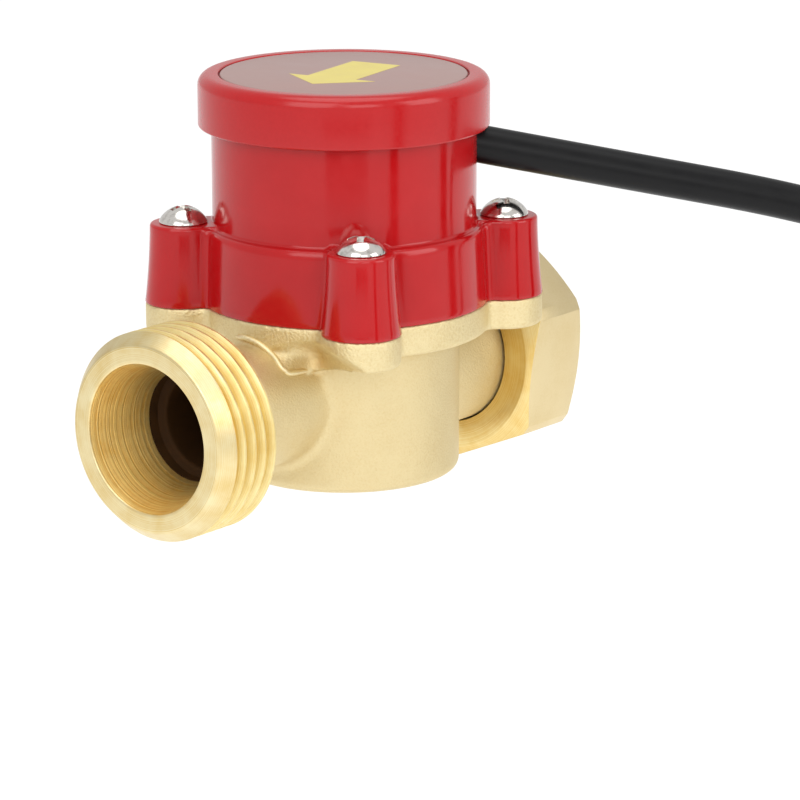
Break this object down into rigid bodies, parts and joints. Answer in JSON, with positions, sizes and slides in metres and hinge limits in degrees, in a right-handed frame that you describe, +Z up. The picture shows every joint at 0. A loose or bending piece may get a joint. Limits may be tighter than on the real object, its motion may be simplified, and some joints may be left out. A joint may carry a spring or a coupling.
{
  "type": "water flow sensor",
  "caption": "Brass water flow sensor with a male threaded outlet, a hex union nut at the inlet, a magnet plunger, and a red round switch housing with a lid and a sheathed lead.",
  "frame": {"origin": "centre of the outlet's end face, on the flow axis", "axes": "+X along the flow axis from the outlet towards the inlet, +Z up along the switch tower, +Y to the left of an observer who looks from the outlet end with the tower up"},
  "size_m": [0.1424, 0.1103, 0.2334],
  "materials": {
    "cast_brass": "blasted casting with turned ends",
    "machined_brass": "turned and milled",
    "spring_steel": "satin",
    "black_rubber": "matt",
    "white_acetal": "satin",
    "magnet": "nickel plated",
    "red_plastic": "satin moulded",
    "label_film": "satin film",
    "plated_steel": "bright nickel plate",
    "board_green": "solder mask",
    "potting_resin": "cast resin",
    "reed_glass": "clear",
    "tinned_wire": "tinned copper",
    "resistor_film": "lacquered",
    "capacitor_case": "moulded",
    "black_case": "moulded epoxy",
    "black_sheath": "satin sheath",
    "brown_core": "extruded",
    "blue_core": "extruded"
  },
  "bodies": {
    "sensor": {"valve_body": "cast_brass", "nut_retaining_ring": "spring_steel", "nut_gasket": "black_rubber", "cover_seal": "black_rubber", "sensor_housing": "red_plastic", "top_cap": "red_plastic", "label_disc": "label_film", "cover_screw_1": "plated_steel", "cover_screw_2": "plated_steel", "cover_screw_3": "plated_steel", "cover_screw_4": "plated_steel", "circuit_board": "board_green", "potting_resin": "potting_resin", "reed_glass": "reed_glass", "reed_leads": "tinned_wire", "resistor_1": "resistor_film", "resistor_2": "resistor_film", "snubber_capacitor": "capacitor_case", "triac": "black_case", "power_cable": "black_sheath", "brown_lead": "brown_core", "blue_lead": "blue_core", "brown_tail": "brown_core", "blue_tail": "blue_core", "brown_tip": "tinned_wire", "blue_tip": "tinned_wire"},
    "nut": {"union_nut": "machined_brass"},
    "valve_plunger": {"plunger": "white_acetal", "plunger_magnet": "magnet", "plunger_plug": "white_acetal"}
  },
  "joints": [
    {"name": "nut_swivel", "type": "hinge", "parent": "sensor", "child": "nut", "pos_m": [0.0747, 0, 0], "axis": [1, 0, 0], "continuous": true},
    {"name": "plunger_lift", "type": "slide", "parent": "sensor", "child": "valve_plunger", "axis": [0, 0, 1], "range_m": [0, 0.007]}
  ]
}
